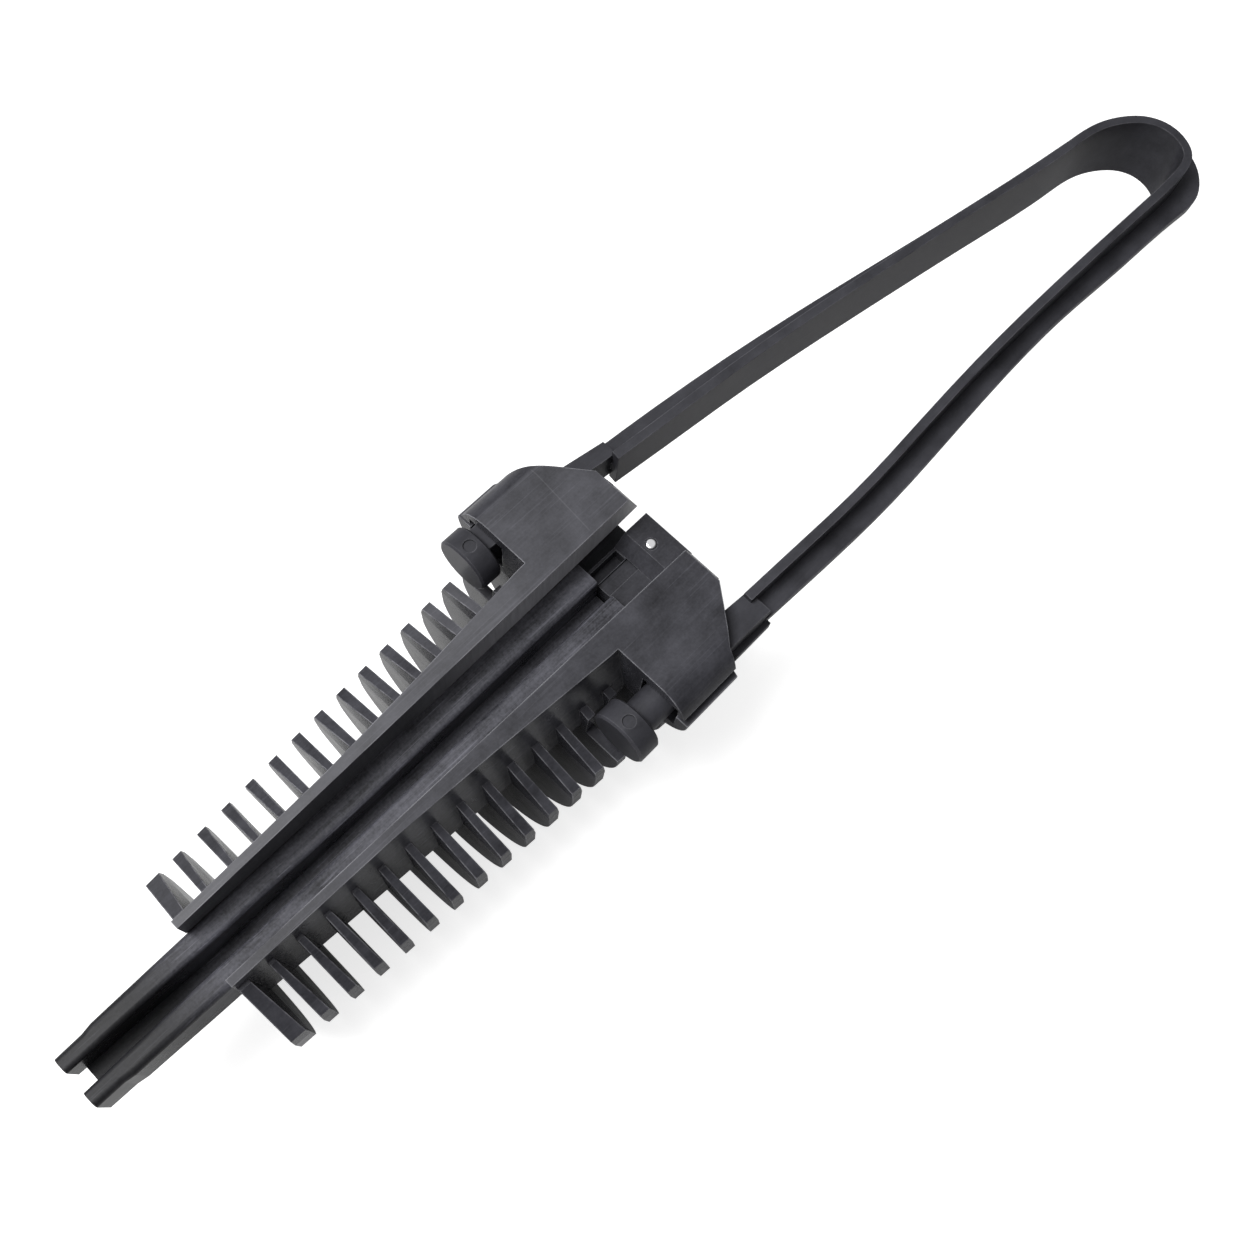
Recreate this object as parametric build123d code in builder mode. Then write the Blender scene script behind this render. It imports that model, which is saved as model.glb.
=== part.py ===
"""Wedge anchor clamp for an aerial fibre cable: finned body, two wedges, stop, pin and bail. Millimetres."""
import os
from math import atan2, cos, hypot, sin

from build123d import *

os.makedirs("parts", exist_ok=True)

# Place of the clamp in its frame: base of the fins on z = 0, x measured from the body's narrow end
narrow_x = -207.6
rail_top = 67.0
over = 20.0

# Body: trough with overhanging lips
body_length = 189.3
nose_length = 5.6
nose_drop = 12.7
nose_back = 2.1
slot_half_narrow = 10.2
slot_half_mouth = 12.6
lip_depth = 14.1
lip_rise = ((-2.0, 3.9), (27.0, 1.6), (58.0, 0.0))
lip_rise_mouth = 1.5
cavity_half_narrow = 10.9
wedge_slope = 0.0435
cavity_depth = 29.1
floor_thickness = 4.2
rail_half = ((0.0, 13.0), (60.0, 14.5), (100.0, 17.0))
rail_half_socket = 20.6
rail_half_mouth = 22.0
rail_lead = 3.1
wall_half_narrow = 15.5
wall_half_slope = 0.0695
wall_foot = 4.0
parting_depth = 27.3

# Body: disc ribs
fin_pitch = 10.0
fin_thickness = 4.0
end_fin_thickness = 5.8
end_fin_set_back = 0.6
fin_blank = 130.0
fin_draft_up = 2.4
fin_draft_down = 0.8
fin_centre_depth = 31.8
fin_half_narrow = 32.6
fin_half_slope = 0.0632
fin_tip_depth_narrow = 21.0
fin_tip_depth_slope = 0.022
fin_tip_low = 37.3
fin_tip_draft = 0.7
fin_root_depth = 4.6
fin_root_slope = 0.09

# Body: sockets for the bail, x measured from the mouth
ear_length = 40.2
ear_centre_y = 38.3
ear_radius = 12.7
ear_lower_radius = 13.9
ear_corner = (2.3, 24.8)
ear_chamfer_end = (-14.1, 45.3)
ear_bend = (-17.9, 48.9)
ear_side_left = -23.8
ear_side_right = -16.0
slit_width = 3.0
slit_depth = 10.4
bore_half_height = 7.4
bore_left = ((-49.3, 32.0), (-49.3, 46.2), (-11.3, 46.2), (15.7, 40.5), (15.7, 24.6), (-11.3, 28.5))
bore_right = ((-49.3, -32.0), (15.7, -32.0), (15.7, -47.2), (-49.3, -47.2))
room_width = 34.0
room_height = 44.0
room_y = 44.0
room_depth = 10.0

# Wedges
wedge_clearance = 0.3
wedge_play = 0.5
wedge_reach = 46.9
gap_half = 3.05
gap_half_tip = 3.6
tip_half = ((0.0, 9.2), (9.0, 9.35), (12.5, 9.95))
tongue_reach = 4.0
tongue_thickness = 2.2
tongue_root = 0.4
tongue_set_back = 2.5
rebate_reach = 6.6
rebate_height = 2.7
wedge_top_rise = ((0.0, 7.0), (19.9, 5.9), (46.9, 4.0), (73.9, 1.6), (101.9, 0.0))
wedge_bottom_rise = ((52.9, 0.0), (19.9, 4.2), (0.0, 7.0))
shoulder = 2.0
inner_shoulder = 1.5

# Stop block and its pin, x measured from the mouth
stop_gap = 0.6
stop_half_left = 9.1
stop_clearance = 0.3
stop_top_depth = 13.7
stop_start = -22.9
stop_ramp_start = -9.1
stop_ramp_end = -4.2
stop_overhang = 0.7
stop_foot = 1.9
shelf_depth = 18.4
pocket = (3.6, 8.0)
pocket_depth = 9.6
pocket_end = 0.4
seat_depth = 0.8
seat_width = 5.4
seat_y = 0.6
pin_x = -1.0
pin_radius = 2.2
pin_fit = 0.03
pin_stand = 0.6
pin_dome = 1.0

# Bail: a tall web bent round the loop, a rib round its outside; x measured from the mouth
web = 3.4
web_half_height = ((-10.0, 8.2), (131.7, 11.5), (285.0, 13.65))
rib_thickness = 4.0
web_line = ((10.3, 26.7), (30.7, 24.5), (67.7, 20.6), (131.7, 11.3), (190.7, 1.4), (226.7, -4.3), (243.7, -7.2),
            (253.0, -11.9), (259.3, -18.0), (261.7, -24.0), (261.3, -30.0), (258.5, -35.3), (247.2, -38.4),
            (227.5, -38.0), (191.5, -36.5), (140.3, -35.4), (99.6, -36.3), (61.3, -37.6), (24.9, -36.5), (4.1, -35.7))
rib_line = ((7.7, 36.8), (34.9, 34.2), (73.4, 29.4), (155.6, 15.3), (237.0, 2.1), (252.7, -1.0), (261.7, -5.5),
            (268.7, -12.5), (272.2, -21.0), (272.7, -30.0), (271.2, -37.0), (268.2, -42.0), (263.2, -46.6),
            (255.2, -50.2), (244.7, -50.0), (210.4, -47.9), (175.4, -45.6), (148.9, -45.3), (106.5, -46.9),
            (66.4, -48.3), (28.7, -47.2), (5.2, -46.0))
neck_half = 6.5
neck_left = ((12.2, 35.6), (12.2, 29.6), (6.7, 30.2), (-11.3, 32.6), (-29.3, 33.6), (-45.3, 34.4), (-45.3, 43.6),
             (-29.3, 43.6), (-9.3, 39.2))
neck_radius = 6.2
neck_right_y = -38.9
neck_right = ((-21.3, -33.5), (6.7, -35.6), (6.7, -45.6), (-11.3, -45.0), (-21.3, -44.6))
neck_lip = ((-10.3, -44.6), (6.7, -44.6), (6.7, -47.4), (-10.3, -47.4))
neck_lip_top = 14.5
neck_lip_bottom = 18.7
button_radius = 10.3
button_length = 8.6
button_edge = 0.7
button_gap_left = 3.2
button_gap_right = 9.7
button_clearance = 0.3
bail_travel = 3.0
dimple_radius = 2.2
dimple_depth = 0.7

# Places that follow from the sizes above
ear_start = body_length - ear_length
wedge_end = body_length + stop_start - stop_gap
wedge_top_depth = lip_depth + wedge_play
wedge_bottom_depth = cavity_depth - wedge_play
floor_depth = cavity_depth + floor_thickness
fin_count = int((body_length - end_fin_thickness) / fin_pitch)


def along(x):
    return narrow_x + x


def ahead(x):
    return narrow_x + body_length + x


def level(depth):
    return rail_top - depth


def cross_section(x):
    return Plane.YZ.offset(along(x))


def plan(depth):
    return Plane.XY.offset(level(depth))


def cavity_half(x):
    return cavity_half_narrow + wedge_slope * x


def wedge_half(x):
    return cavity_half(x) - wedge_clearance


def slot_half(x):
    return slot_half_narrow + (slot_half_mouth - slot_half_narrow) * x / body_length


def fin_half(x):
    return fin_half_narrow + fin_half_slope * x


def framed(points):
    """Plan points measured from the mouth, put in the frame."""
    return [(ahead(x), y) for x, y in points]


def wedge_plan(side):
    """Plan of a wedge: straight gap side, outer side along the cavity wall, stepped in at the tip."""
    tip = [(x - wedge_reach, half) for x, half in tip_half]
    outline = [(-wedge_reach, gap_half_tip), (wedge_top_rise[-1][0] - wedge_reach, gap_half), (wedge_end, gap_half),
               (wedge_end, wedge_half(wedge_end)), (0.0, wedge_half(0.0))] + tip[::-1]
    return [(along(x), side * y) for x, y in outline]


top_line = [(along(x - wedge_reach), level(wedge_top_depth) + rise) for x, rise in wedge_top_rise]
bottom_line = [(along(x - wedge_reach), level(wedge_bottom_depth) + rise) for x, rise in wedge_bottom_rise]


def side_outline():
    """Side view of a wedge, its tip bent up where it leaves the body."""
    Spline(*top_line, tangents=((1, -0.05), (1, 0)))
    Polyline(top_line[-1], (along(wedge_end), top_line[-1][1]), (along(wedge_end), bottom_line[0][1]), bottom_line[0])
    Spline(*bottom_line, tangents=((-1, 0), (-1, 0.14)))
    Line(bottom_line[-1], top_line[0])


def under_strip(height, below):
    """Side view of a strip along a wedge's underside, from the underside line up."""
    low = [(x, z + below) for x, z in bottom_line]
    high = [(x, z + height) for x, z in bottom_line]
    Polyline((along(wedge_end), high[0][1]), (along(wedge_end), low[0][1]), low[0])
    Spline(*low, tangents=((-1, 0), (-1, 0.14)))
    Line(low[-1], high[-1])
    Spline(*high[::-1], tangents=((1, -0.14), (1, 0)))
    Line(high[0], (along(wedge_end), high[0][1]))


def top_edges(piece, outer):
    """Long top edges of a wedge, on its outer side or beside the gap."""
    return [e for e in piece.edges() if abs(e.tangent_at(0.5).X) > 0.9
            and e.center().Z > level(wedge_top_depth) - wedge_play and (abs(e.center().Y) > 2 * gap_half) == outer]


def offset_points(points, distance):
    """The points moved to the left of the way the chain runs."""
    moved = []
    for i, (x, y) in enumerate(points):
        before = points[max(i - 1, 0)]
        after = points[min(i + 1, len(points) - 1)]
        dx, dy = after[0] - before[0], after[1] - before[1]
        size = hypot(dx, dy)
        moved.append((x - dy / size * distance, y + dx / size * distance))
    return moved


def band(inner, outer):
    """Closed plan outline between two chains that run the same way."""
    inside, outside = framed(inner), framed(outer)
    Spline(*inside)
    Line(inside[-1], outside[-1])
    Spline(*outside[::-1])
    Line(outside[0], inside[0])


with BuildPart() as body:
    # Ribs: drafted both ways from the parting plane, then cut to the round envelope with its flat base
    fins = [(along(i * fin_pitch + fin_thickness / 2), 0) for i in range(1, fin_count)]
    for height, draft in ((parting_depth + 1, fin_draft_up), (parting_depth - rail_top, fin_draft_down)):
        with BuildSketch(plan(parting_depth)):
            with Locations(*fins):
                Rectangle(fin_thickness, fin_blank)
            with Locations((along(end_fin_thickness / 2 - end_fin_set_back), 0)):
                Rectangle(end_fin_thickness, fin_blank)
        extrude(amount=height, taper=draft)
    for x in (-1.0, body_length / 2, body_length + 1):
        half = fin_half(x)
        wide = half + fin_tip_draft
        tip = fin_tip_depth_narrow + fin_tip_depth_slope * x
        drop = rail_top - fin_centre_depth
        flat = max(wide * wide - drop * drop, 9.0) ** 0.5
        low = hypot(wide, fin_tip_low - fin_centre_depth)
        turn = (atan2(fin_tip_low - fin_centre_depth, wide) + atan2(drop, flat)) / 2
        under = (low * cos(turn), level(fin_centre_depth + low * sin(turn)))
        root = (wall_half_narrow - 1 + 0.04 * x, level(fin_root_depth + fin_root_slope * x))
        with BuildSketch(cross_section(x)):
            with BuildLine():
                Polyline((-wide, level(fin_tip_low)), (-wide, level(parting_depth)), (-half, level(tip)),
                         (-root[0], root[1]), root, (half, level(tip)), (wide, level(parting_depth)),
                         (wide, level(fin_tip_low)))
                ThreePointArc((wide, level(fin_tip_low)), under, (flat, 0))
                Line((flat, 0), (-flat, 0))
                ThreePointArc((-flat, 0), (-under[0], under[1]), (-wide, level(fin_tip_low)))
            make_face()
    loft(ruled=True, mode=Mode.INTERSECT)
    # Room behind the sockets for the buttons and their travel
    for side, gap in ((1, button_gap_left), (-1, button_gap_right)):
        room = gap + button_length + bail_travel + button_clearance
        with BuildSketch(cross_section(ear_start - room)):
            with Locations((side * room_y, level(room_depth))):
                Rectangle(room_width, room_height)
        extrude(amount=room, mode=Mode.SUBTRACT)
    # Trough
    for x, half in (*rail_half, (ear_start - rail_lead, rail_half_socket), (body_length + nose_length, rail_half_mouth)):
        wall = wall_half_narrow + wall_half_slope * x
        with BuildSketch(cross_section(x)):
            Polygon((half, level(0)), (wall, level(parting_depth)), (wall - wall_foot, level(floor_depth)),
                    (wall_foot - wall, level(floor_depth)), (-wall, level(parting_depth)), (-half, level(0)), align=None)
    loft(ruled=True)
    # Sockets
    with BuildSketch(cross_section(ear_start)):
        for side in (1, -1):
            with Locations((side * ear_centre_y / 2, level(ear_radius))):
                Rectangle(ear_centre_y, 2 * ear_radius)
            with Locations((side * ear_centre_y, level(ear_radius))):
                Circle(ear_radius)
    extrude(amount=ear_length + over)
    with BuildSketch(cross_section(ear_start)):
        for side in (1, -1):
            with Locations((side * ear_centre_y, level(ear_radius))):
                Circle(ear_lower_radius)
        with Locations((0, level(slit_depth + slit_width / 2) + over / 2)):
            Rectangle(fin_blank, over, mode=Mode.SUBTRACT)
    extrude(amount=ear_length + over)
    # Mouth: nose across the front, corners cut back
    with BuildSketch(Plane.XZ):
        Polygon((ahead(0), level(-over)), (ahead(0), level(0)), (ahead(nose_length), level(nose_drop)),
                (ahead(nose_back), level(cavity_depth)), (ahead(nose_back), level(floor_depth + over)),
                (ahead(2 * over), level(floor_depth + over)), (ahead(2 * over), level(-over)), align=None)
    extrude(amount=fin_blank, both=True, mode=Mode.SUBTRACT)
    with BuildSketch(plan(floor_depth)):
        for side, back in ((1, ear_side_left), (-1, ear_side_right)):
            corner = (ahead(ear_corner[0]), side * ear_corner[1])
            shoulder_end = (ahead(ear_chamfer_end[0]), side * ear_chamfer_end[1])
            outside = (ahead(back), side * (ear_centre_y + ear_lower_radius))
            with BuildLine():
                Polyline((ahead(2 * over), corner[1]), corner, shoulder_end)
                if side > 0:
                    ThreePointArc(shoulder_end, (ahead(ear_bend[0]), ear_bend[1]), outside)
                else:
                    Line(shoulder_end, outside)
                Polyline(outside, (outside[0], outside[1] + side * over), (ahead(2 * over), outside[1] + side * over),
                         (ahead(2 * over), corner[1]))
            make_face()
    extrude(amount=floor_depth + over, mode=Mode.SUBTRACT)
    # Slot between the lips and the wider wedge cavity under them
    ends = [(x, slot_half(x)) for x in (-over, body_length + over)]
    with BuildSketch(plan(-1)):
        Polygon(*[(along(x), half) for x, half in ends], *[(along(x), -half) for x, half in ends[::-1]], align=None)
    extrude(amount=-lip_depth - 3, mode=Mode.SUBTRACT)
    for x, rise in (*lip_rise, (ear_start, 0.0), (body_length + over, lip_rise_mouth)):
        with BuildSketch(cross_section(x)):
            with Locations((0, level((lip_depth - rise + cavity_depth) / 2))):
                Rectangle(2 * cavity_half(x), cavity_depth - lip_depth + rise)
    loft(ruled=True, mode=Mode.SUBTRACT)
    # Bores for the bail necks, with the entry slits in the outer sides
    with BuildSketch(plan(ear_radius)):
        Polygon(*framed(bore_left), align=None)
        Polygon(*framed(bore_right), align=None)
    extrude(amount=bore_half_height, both=True, mode=Mode.SUBTRACT)
    with BuildSketch(cross_section(ear_start - 1)):
        for side in (1, -1):
            with Locations((side * (ear_centre_y + ear_radius), level(slit_depth))):
                Rectangle(ear_radius, slit_width)
    extrude(amount=ear_length + over, mode=Mode.SUBTRACT)
    # Hole for the pin through the floor
    with BuildSketch(plan(cavity_depth - 1)):
        with Locations((ahead(pin_x), 0)):
            Circle(pin_radius + pin_fit)
    extrude(amount=-floor_thickness - 2, mode=Mode.SUBTRACT)
body.part.label = "body"
export_step(body.part, "parts/body.step")

with BuildPart() as wedge_left:
    with BuildSketch(plan(floor_depth)):
        Polygon(*wedge_plan(1), align=None)
    extrude(amount=floor_depth)
    with BuildSketch(Plane.XZ):
        with BuildLine():
            side_outline()
        make_face()
    extrude(amount=fin_blank, both=True, mode=Mode.INTERSECT)
    fillet(top_edges(wedge_left, True), shoulder)
    fillet(top_edges(wedge_left, False), inner_shoulder)
    # Rebate over the other wedge's tongue
    with BuildSketch(Plane.XZ):
        with BuildLine():
            under_strip(rebate_height, -floor_thickness)
        make_face()
    extrude(amount=-rebate_reach, mode=Mode.SUBTRACT)
wedge_left.part.label = "wedge_left"
export_step(wedge_left.part, "parts/wedge_left.step")

with BuildPart() as wedge_right:
    with BuildSketch(plan(floor_depth)):
        Polygon(*wedge_plan(-1), align=None)
    extrude(amount=floor_depth)
    with BuildSketch(Plane.XZ):
        with BuildLine():
            side_outline()
        make_face()
    extrude(amount=fin_blank, both=True, mode=Mode.INTERSECT)
    fillet(top_edges(wedge_right, True), shoulder)
    fillet(top_edges(wedge_right, False), inner_shoulder)
    # Tongue that closes the gap from below, short of the tip
    with BuildSketch(Plane.XZ.offset(gap_half_tip + tongue_root)):
        with BuildLine():
            under_strip(tongue_thickness, 0)
        make_face()
        with Locations((along(-wedge_reach), level(wedge_top_depth))):
            Rectangle(2 * tongue_set_back, 2 * wedge_top_depth, mode=Mode.SUBTRACT)
    extrude(amount=-gap_half_tip - tongue_root - tongue_reach)
wedge_right.part.label = "wedge_right"
export_step(wedge_right.part, "parts/wedge_right.step")

with BuildPart() as wedge_stop:
    right_side = slot_half(body_length + stop_start) - stop_clearance
    with BuildSketch(Plane.XZ.offset(-stop_half_left)):
        Polygon((ahead(stop_start), level(cavity_depth)), (ahead(stop_start), level(shelf_depth)),
                (ahead(stop_ramp_start), level(shelf_depth)), (ahead(stop_ramp_end), level(stop_top_depth)),
                (ahead(nose_length + stop_overhang), level(stop_top_depth)), (ahead(stop_foot), level(cavity_depth)),
                align=None)
    extrude(amount=stop_half_left + right_side)
    with BuildSketch(plan(stop_top_depth - 1)):
        with Locations((ahead(pin_x), 0)):
            Circle(pin_radius + pin_fit)
    extrude(amount=-cavity_depth, mode=Mode.SUBTRACT)
    # Open pocket on the left of the shelf and the shallow seat beside it
    with BuildSketch(plan(stop_top_depth)):
        Polygon((ahead(stop_start - 1), pocket[0]), (ahead(stop_ramp_start - pocket_end), pocket[0]),
                (ahead(stop_ramp_start - pocket_end), pocket[1]), (ahead(stop_start - 1), pocket[1]), align=None)
    extrude(amount=-pocket_depth, mode=Mode.SUBTRACT)
    with BuildSketch(plan(shelf_depth)):
        with Locations((ahead((stop_start + stop_ramp_start) / 2), seat_y)):
            Rectangle(stop_ramp_start - stop_start + 2 * seat_y, seat_width)
    extrude(amount=-seat_depth, mode=Mode.SUBTRACT)
wedge_stop.part.label = "wedge_stop"
export_step(wedge_stop.part, "parts/wedge_stop.step")

with BuildPart() as stop_pin:
    with BuildSketch(plan(floor_depth)):
        with Locations((ahead(pin_x), 0)):
            Circle(pin_radius)
    extrude(amount=floor_depth - stop_top_depth + pin_stand)
    fillet(stop_pin.edges().sort_by(Axis.Z)[-1], pin_dome)
stop_pin.part.label = "stop_pin"
export_step(stop_pin.part, "parts/stop_pin.step")

with BuildPart() as bail:
    # Web, taller toward the bend
    with BuildSketch(plan(ear_radius)):
        with BuildLine():
            band(web_line, offset_points(web_line, web))
        make_face()
    extrude(amount=over, both=True)
    upper = [(ahead(x), level(ear_radius) + half) for x, half in web_half_height]
    lower = [(ahead(x), level(ear_radius) - half) for x, half in web_half_height]
    with BuildSketch(Plane.XZ):
        with BuildLine():
            Spline(*upper)
            Line(upper[-1], lower[-1])
            Spline(*lower[::-1])
            Line(lower[0], upper[0])
        make_face()
    extrude(amount=fin_blank, both=True, mode=Mode.INTERSECT)
    # Rib round the outside
    with BuildSketch(plan(ear_radius)):
        with BuildLine():
            band(offset_points(web_line, web / 2), rib_line)
        make_face()
    extrude(amount=rib_thickness / 2, both=True)
    # Necks
    with BuildSketch(plan(ear_radius)):
        Polygon(*framed(neck_left), align=None)
    extrude(amount=neck_half, both=True)
    with BuildSketch(plan(ear_radius)):
        Polygon(*framed(neck_right), align=None)
    extrude(amount=neck_radius, both=True)
    with BuildSketch(cross_section(ear_start - button_gap_right - 1)):
        with Locations((neck_right_y, level(ear_radius))):
            Circle(neck_radius)
    extrude(amount=ear_length / 2 + button_gap_right)
    with BuildSketch(plan(neck_lip_bottom)):
        Polygon(*framed(neck_lip), align=None)
    extrude(amount=neck_lip_bottom - neck_lip_top)
    # Buttons with an ejector dimple in each
    for centre, gap in ((ear_centre_y, button_gap_left), (neck_right_y, button_gap_right)):
        with BuildSketch(cross_section(ear_start - gap - button_length)):
            with Locations((centre, level(ear_radius))):
                Circle(button_radius)
        extrude(amount=button_length)
    rims = [e for e in bail.edges().filter_by(GeomType.CIRCLE) if abs(e.radius - button_radius) < 0.01]
    chamfer(rims, button_edge)
    with BuildSketch(plan(ear_radius - button_radius + dimple_depth)):
        for centre, gap in ((ear_centre_y, button_gap_left), (neck_right_y, button_gap_right)):
            with Locations((along(ear_start - gap - button_length / 2), centre)):
                Circle(dimple_radius)
    extrude(amount=over, mode=Mode.SUBTRACT)
bail.part.label = "bail"
export_step(bail.part, "parts/bail.step")

for piece in (body, wedge_left, wedge_right, wedge_stop, stop_pin, bail):
    box = piece.part.bounding_box()
    print(piece.part.label, len(piece.part.solids()), round(piece.part.volume / 1000, 1), box.min, box.max)
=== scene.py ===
from math import radians

import bpy
from mathutils import Matrix, Vector


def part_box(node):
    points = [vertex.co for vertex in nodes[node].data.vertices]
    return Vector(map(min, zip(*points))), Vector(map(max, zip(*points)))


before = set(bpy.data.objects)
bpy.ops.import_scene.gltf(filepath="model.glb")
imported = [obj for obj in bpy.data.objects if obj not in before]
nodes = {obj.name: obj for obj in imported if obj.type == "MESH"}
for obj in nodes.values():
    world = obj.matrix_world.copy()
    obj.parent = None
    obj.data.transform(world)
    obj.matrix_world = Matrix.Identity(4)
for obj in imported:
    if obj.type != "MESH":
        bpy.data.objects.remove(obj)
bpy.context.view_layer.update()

# The body's own box gives the places that the finish follows
body_low, body_high = (Vector(corner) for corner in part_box("body"))

MM = 0.001
WHITE = (1, 1, 1, 1)

# Colours of the charcoal plastic, of its marks and of the light painted on it
BLUE_TINT = 1.17
# Lighter edge colour: partly wear, partly a painted highlight
WORN_AND_HIGHLIGHT_EDGE = (0.30, 0.30, 0.325)
# Pale colour for rubbing and the mould line, and for painted light on the left lip's wall and the left
# tops
PALE_MARK_AND_PAINTED_LIGHT = (0.82, 0.82, 0.86)
# Darker colour toward which the wedge tips that stand out of the body go
TIP_DARK = (0.008, 0.008, 0.008)

# Noise frequencies along X, Y and Z, per metre: streaks and scratches run along X
MOTTLE = (60, 75, 70)
GRAIN = (1100, 1100, 1100)
STREAKS = (16, 800, 600)
SCRATCHES = (22, 1500, 900)
WEAR_AND_HIGHLIGHT_PATCHES = (60, 220, 220)
LIP_RUB_AND_LIGHT_PATTERN = (700, 60, 60)
RAIL_RUB_AND_HIGHLIGHT_STREAKS = (30, 260, 200)
PIN_SPECKS = (900, 900, 900)

# Tone: a noise's mean, the mottle's share, and how far from the middle the two greys are reached
NOISE_MEAN = 0.5
MOTTLE_SHARE = 0.55
DARK_BELOW = 0.2
LIGHT_ABOVE = 0.55

# Levels between which a noise, a direction, an openness or a place goes from no effect to the full one
SCRATCH_LEVELS = (0.6, 0.72)
WEAR_AND_HIGHLIGHT_LEVELS = (0.25, 0.65)
EDGE_COSINES = (0.985, 0.86)
OPENNESS = (0.75, 0.92)
FACING_UP = (0.5, 0.9)
FLAT_TOP = (0.9, 0.95)
FACING_RIGHT = (-0.9, -0.98)
LEFT_SIDE = (9 * MM, 10 * MM)

# Gloss and grain of the plastic
ROUGH_SPREAD = 0.1
TOP_SCUFF = 0.18
SPECULAR_LEVEL = 0.18
GRAIN_HEIGHT = 0.6
BUMP_STRENGTH = 0.2
BUMP_DEPTH = 0.15 * MM
SMOOTHING_SHARE = 0.5

# Reach and samples of the nodes that look for edges and hollows
HOLLOW_REACH = 3 * MM
HOLLOW_SAMPLES = 4
BEVEL_SAMPLES = 6

# A Mix node has number, vector and colour sockets of the same names, so the colour ones go by index
MIX_SHARE, MIX_A, MIX_B, MIX_RESULT = 0, 6, 7, 2

# Floor, just under the clamp
FLOOR_SIZE = 6
FLOOR_DROP = 0.05 * MM
FLOOR_GREY = (0.65, 0.65, 0.65, 1)
FLOOR_ROUGHNESS = 0.9
FLOOR_LIFT = 0.75
FLOOR_MIRRORED_LIFT = 0.05

# Surround: the direction in plan to the picture's left, the levels it brightens between, its strengths
PICTURE_LEFT = (-0.69, 0.72)
LEFT_LEVELS = (-0.85, 0.4)
OVERHEAD_LEVELS = (0.1, 0.9)
SKY_STRENGTH = (0.03, 0.78)
SKY_MIRRORED_LIFT = 0.25

# Key lamp, high on the left of the picture
KEY_PLACE = (-0.46, 0.39, 1.2)
KEY_TARGET = (-0.05, 0, 0)
KEY_SIZE = 0.6
KEY_POWER = 14.5

# Camera, fitted to the photograph: it looks at a point on the floor and is rolled about its line of sight
CAMERA_EYE = (-0.17196, -0.09427, 0.44174)
CAMERA_TARGET = (-0.029511, -0.003809, 0)
CAMERA_ROLL = radians(11.733)
CAMERA_SENSOR = 36
CAMERA_LENS = 36.45
CAMERA_CLIP = 0.01


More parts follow.
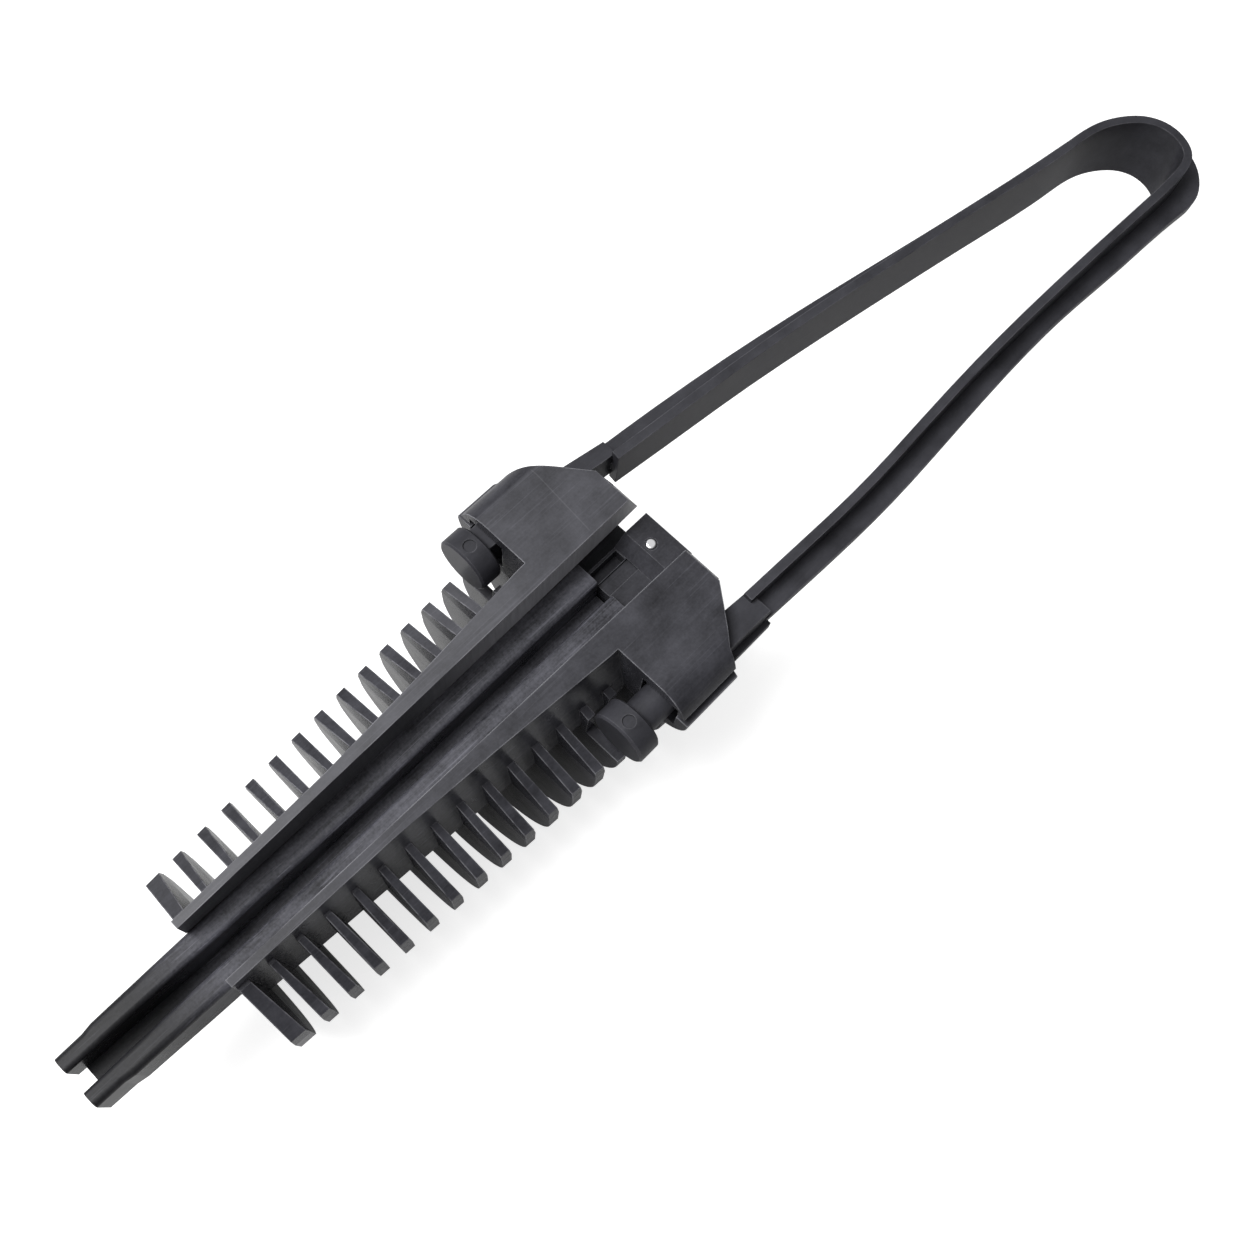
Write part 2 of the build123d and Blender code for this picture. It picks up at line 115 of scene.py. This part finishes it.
class Graph:
    """Shorthand for building the nodes of a material or of the world."""

    def __init__(self, tree):
        self.tree = tree
        self.shader = tree.nodes.get("Principled BSDF")
        self.coordinates = self.add("ShaderNodeTexCoord").outputs
        self.place = self.coordinates["Object"]

    def add(self, kind, **values):
        node = self.tree.nodes.new(kind)
        for key, value in values.items():
            setattr(node, key, value)
        return node

    def link(self, source, target):
        self.tree.links.new(source, target)

    def feed(self, value, socket):
        if isinstance(value, (int, float)):
            socket.default_value = value
        else:
            self.link(value, socket)

    def math(self, operation, a, b):
        node = self.add("ShaderNodeMath", operation=operation)
        self.feed(a, node.inputs[0])
        self.feed(b, node.inputs[1])
        return node.outputs[0]

    def sum(self, *parts):
        total = parts[0]
        for part in parts[1:]:
            total = self.math("ADD", total, part)
        return total

    def times(self, *parts):
        total = parts[0]
        for part in parts[1:]:
            total = self.math("MULTIPLY", total, part)
        return total

    def between(self, share, low, high):
        """low where the share is 0, high where it is 1."""
        return self.sum(low, self.times(share, high - low))

    def step(self, value, none, full):
        """0 up to none, 1 from full on, smooth between; none may lie above full."""
        node = self.add("ShaderNodeMapRange", interpolation_type="SMOOTHSTEP")
        self.link(value, node.inputs["Value"])
        node.inputs["From Min"].default_value = min(none, full)
        node.inputs["From Max"].default_value = max(none, full)
        node.inputs["To Min"].default_value = 0.0 if none < full else 1.0
        node.inputs["To Max"].default_value = 1.0 if none < full else 0.0
        return node.outputs["Result"]

    def split(self, vector):
        node = self.add("ShaderNodeSeparateXYZ")
        self.link(vector, node.inputs[0])
        return node.outputs

    def noise(self, frequency, detail=4.0, rough=0.55):
        mapping = self.add("ShaderNodeMapping")
        mapping.inputs["Scale"].default_value = frequency
        self.link(self.place, mapping.inputs["Vector"])
        node = self.add("ShaderNodeTexNoise")
        node.inputs["Scale"].default_value = 1.0
        node.inputs["Detail"].default_value = detail
        node.inputs["Roughness"].default_value = rough
        self.link(mapping.outputs[0], node.inputs["Vector"])
        return node.outputs["Fac"]

    def ramp(self, value, stops):
        node = self.add("ShaderNodeValToRGB")
        for element, (position, colour) in zip(node.color_ramp.elements, stops):
            element.position = position
            element.color = (*colour, 1)
        self.link(value, node.inputs[0])
        return node.outputs[0]

    def mix(self, share, colour, other):
        node = self.add("ShaderNodeMix", data_type="RGBA")
        self.link(share, node.inputs[MIX_SHARE])
        self.link(colour, node.inputs[MIX_A])
        node.inputs[MIX_B].default_value = (*other, 1)
        return node.outputs[MIX_RESULT]

    def normal(self):
        return self.add("ShaderNodeNewGeometry").outputs["Normal"]

    def rounded(self, radius):
        """The normal as if each edge had this radius."""
        node = self.add("ShaderNodeBevel", samples=BEVEL_SAMPLES)
        node.inputs["Radius"].default_value = radius
        return node.outputs[0]

    def edges(self, smooth):
        """1 on outer edges, worn and given a painted highlight, where the rounded normal leaves the flat
        one outside hollows.
        """
        turn = self.add("ShaderNodeVectorMath", operation="DOT_PRODUCT")
        self.link(smooth, turn.inputs[0])
        self.link(self.normal(), turn.inputs[1])
        hollow = self.add("ShaderNodeAmbientOcclusion", samples=HOLLOW_SAMPLES, only_local=True)
        hollow.inputs["Distance"].default_value = HOLLOW_REACH
        bent = self.step(turn.outputs["Value"], *EDGE_COSINES)
        return self.times(bent, self.step(hollow.outputs["AO"], *OPENNESS))

    def bump(self, height, smooth):
        node = self.add("ShaderNodeBump")
        node.inputs["Strength"].default_value = BUMP_STRENGTH
        node.inputs["Distance"].default_value = BUMP_DEPTH
        self.link(height, node.inputs["Height"])
        self.link(smooth, node.inputs["Normal"])
        self.link(node.outputs[0], self.shader.inputs["Normal"])


def surface(name):
    material = bpy.data.materials.new(name)
    material.use_nodes = True
    return material, Graph(material.node_tree)


def grey(value):
    return (value, value, value * BLUE_TINT)


def plastic(name, dark, light, rough, grain, streak, scratch, edge, radius, marks=None):
    """Charcoal moulding from a dark to a light grey: mottled, grained, streaked and scratched along its
    length, with edges of about the radius lighter, partly worn and partly a painted highlight, and tops
    scuffed rougher."""
    material, g = surface(name)
    mottle = g.noise(MOTTLE, detail=6, rough=0.65)
    fine = g.noise(GRAIN, detail=2)
    lines = g.noise(STREAKS, detail=5, rough=0.65)
    scratches = g.step(g.noise(SCRATCHES, detail=2), *SCRATCH_LEVELS)

    tone = g.sum(g.times(mottle, MOTTLE_SHARE), g.times(fine, grain), g.times(lines, streak))
    tone = g.sum(tone, g.times(scratches, scratch))
    middle = NOISE_MEAN * (MOTTLE_SHARE + grain + streak)
    colour = g.ramp(tone, [(middle - DARK_BELOW, grey(dark)), (middle + LIGHT_ABOVE, grey(light))])

    # Outer edges painted lighter in patches, partly as wear and partly as a painted highlight
    patches = g.step(g.noise(WEAR_AND_HIGHLIGHT_PATCHES), *WEAR_AND_HIGHLIGHT_LEVELS)
    edge_wear_and_highlight = g.times(g.edges(g.rounded(radius)), patches, edge)
    colour = g.mix(edge_wear_and_highlight, colour, WORN_AND_HIGHLIGHT_EDGE)
    if marks:
        share, mark_colour = marks(g)
        colour = g.mix(share, colour, mark_colour)
    g.link(colour, g.shader.inputs["Base Color"])

    upward = g.split(g.normal())[2]
    scuffed = g.times(g.step(upward, *FACING_UP), TOP_SCUFF)
    mottled = g.between(mottle, rough - ROUGH_SPREAD, rough + ROUGH_SPREAD)
    g.link(g.sum(mottled, scuffed), g.shader.inputs["Roughness"])
    g.shader.inputs["Specular IOR Level"].default_value = SPECULAR_LEVEL
    height = g.sum(g.times(fine, GRAIN_HEIGHT), g.times(lines, streak))
    g.bump(height, g.rounded(SMOOTHING_SHARE * radius))
    return material


def lip_rub_and_painted_light(g):
    """The left lip's inner wall, pale most toward the mouth: partly rubbed, partly painted light."""
    short_of_ear = (13.4 * MM, 13.0 * MM)
    toward_mouth = (body_low.x + 85 * MM, body_low.x + 145 * MM)
    strength = (0.1, 0.9)
    unevenness = (0.7, 1.3)
    x, y, _ = g.split(g.place)
    across = g.split(g.normal())[1]
    # Pale on the wall's face, growing toward the mouth: partly rubbing, partly painted light
    wall = g.times(g.step(across, *FACING_RIGHT), g.step(y, *LEFT_SIDE), g.step(y, *short_of_ear))
    along = g.between(g.step(x, *toward_mouth), *strength)
    return g.times(wall, along, g.between(g.noise(LIP_RUB_AND_LIGHT_PATTERN, detail=3), *unevenness))


def mould_line(g):
    """The fine line across the left ear's top, leaning a little along the body."""
    middle = body_high.x - 23.8 * MM
    half_width = 0.35 * MM
    lean = -0.081
    ear = (13.6 * MM, 14.5 * MM)
    strength = 0.035
    x, y, _ = g.split(g.place)
    upward = g.split(g.normal())[2]
    along = g.sum(x, g.times(y, lean))
    line = g.times(g.step(along, middle - half_width, middle), g.step(along, middle + half_width, middle))
    return g.times(line, g.step(upward, *FLAT_TOP), g.step(y, *ear), strength)


def left_top_highlight_and_rubs(g):
    """The left side's flat tops, a little lighter as a painted highlight, and more in streaks on the rail
    that are partly rubbing and partly painted highlight.
    """
    off_the_ear = (body_high.x - 40 * MM, body_high.x - 70 * MM)
    strength = (0.025, 0.085)
    x, y, _ = g.split(g.place)
    upward = g.split(g.normal())[2]
    # Only the left side's tops: a painted highlight, more in streaks along the rail that are also rubbing
    top = g.times(g.step(upward, *FLAT_TOP), g.step(y, *LEFT_SIDE))
    rail = g.times(g.step(x, *off_the_ear), g.noise(RAIL_RUB_AND_HIGHLIGHT_STREAKS, detail=5, rough=0.7))
    return g.times(top, g.between(rail, *strength))


def body_marks_and_painted_light(g):
    # Pale rubbing and the mould line, with painted light on the left lip's wall and the left tops
    return g.sum(lip_rub_and_painted_light(g), mould_line(g), left_top_highlight_and_rubs(g)), PALE_MARK_AND_PAINTED_LIGHT


def darker_wedge_tips(g):
    """The tips that stand out of the body are darker."""
    out_of_body = (body_low.x + 5 * MM, body_low.x - 25 * MM)
    strength = 0.8
    x = g.split(g.place)[0]
    return g.times(g.step(x, *out_of_body), strength), TIP_DARK


def pin_steel():
    """Bright steel, rougher in fine specks."""
    colour = (0.9, 0.9, 0.92, 1)
    roughness = (0.16, 0.28)
    material, g = surface("pin_steel")
    g.shader.inputs["Base Color"].default_value = colour
    g.shader.inputs["Metallic"].default_value = 1.0
    g.link(g.between(g.noise(PIN_SPECKS), *roughness), g.shader.inputs["Roughness"])
    return material


def floor_white():
    """Pale grey under the light, lifted to white for the camera and slightly in reflections."""
    material, g = surface("floor_white")
    g.shader.inputs["Base Color"].default_value = FLOOR_GREY
    g.shader.inputs["Roughness"].default_value = FLOOR_ROUGHNESS
    g.shader.inputs["Specular IOR Level"].default_value = 0.0
    g.shader.inputs["Emission Color"].default_value = WHITE
    ray = g.add("ShaderNodeLightPath").outputs
    mirrored = g.sum(ray["Is Glossy Ray"], ray["Is Transmission Ray"])
    lift = g.sum(g.times(ray["Is Camera Ray"], FLOOR_LIFT), g.times(mirrored, FLOOR_MIRRORED_LIFT))
    g.link(lift, g.shader.inputs["Emission Strength"])
    return material


def light_surround(world):
    """Bright overhead and to the picture's left, more so in reflections, and dim at the horizon;
    white to the camera."""
    world.use_nodes = True
    g = Graph(world.node_tree)
    background = world.node_tree.nodes["Background"]
    background.inputs["Color"].default_value = WHITE
    x, y, z = g.split(g.coordinates["Generated"])
    left = g.sum(g.times(x, PICTURE_LEFT[0]), g.times(y, PICTURE_LEFT[1]))
    overhead = g.times(g.step(z, *OVERHEAD_LEVELS), g.step(left, *LEFT_LEVELS))
    ray = g.add("ShaderNodeLightPath").outputs
    mirrored = g.times(ray["Is Glossy Ray"], overhead, SKY_MIRRORED_LIFT)
    strength = g.sum(g.between(overhead, *SKY_STRENGTH), mirrored, ray["Is Camera Ray"])
    g.link(strength, background.inputs["Strength"])


def give(node, material):
    slots = nodes[node].data.materials
    slots.clear()
    slots.append(material)


def put(name, data, place, target, roll=0.0):
    """A lamp or camera at a place, facing a target and rolled about its line of sight."""
    thing = bpy.data.objects.new(name, data)
    bpy.context.collection.objects.link(thing)
    facing = (Vector(target) - Vector(place)).to_track_quat("-Z", "Y").to_matrix().to_4x4()
    thing.matrix_world = Matrix.Translation(place) @ facing @ Matrix.Rotation(roll, 4, "Z")
    return thing


# The clamp's materials
give("body", plastic(
    "body_plastic", dark=0.011, light=0.15, rough=0.24, grain=0.14, streak=0.12, scratch=0.1,
    edge=0.9, radius=0.8 * MM, marks=body_marks_and_painted_light,
))
for side in ("left", "right"):
    give(f"wedge_{side}", plastic(
        f"wedge_{side}_plastic", dark=0.009, light=0.16, rough=0.28, grain=0.3, streak=0.45, scratch=0.25,
        edge=0.5, radius=0.6 * MM, marks=darker_wedge_tips,
    ))
give("wedge_stop", plastic(
    "stop_plastic", dark=0.010, light=0.11, rough=0.28, grain=0.2, streak=0.1, scratch=0.06,
    edge=0.4, radius=0.5 * MM,
))
give("bail", plastic(
    "bail_plastic", dark=0.017, light=0.12, rough=0.36, grain=0.06, streak=0.05, scratch=0.03,
    edge=0.3, radius=0.8 * MM,
))
give("stop_pin", pin_steel())

# The floor, which keeps the clamp's soft shadow
bpy.ops.mesh.primitive_plane_add(size=FLOOR_SIZE, location=(0, 0, -FLOOR_DROP))
floor = bpy.context.object
floor.name = "floor"
floor.data.materials.append(floor_white())

# The light
world = bpy.context.scene.world or bpy.data.worlds.new("World")
bpy.context.scene.world = world
light_surround(world)
key = bpy.data.lights.new("key", "AREA")
key.size = KEY_SIZE
key.energy = KEY_POWER
put("key", key, KEY_PLACE, KEY_TARGET)

# The camera
optics = bpy.data.cameras.new("camera")
optics.sensor_width = CAMERA_SENSOR
optics.lens = CAMERA_LENS
optics.clip_start = CAMERA_CLIP
bpy.context.scene.camera = put("camera", optics, CAMERA_EYE, CAMERA_TARGET, CAMERA_ROLL)
bpy.context.scene.view_settings.view_transform = "Standard"
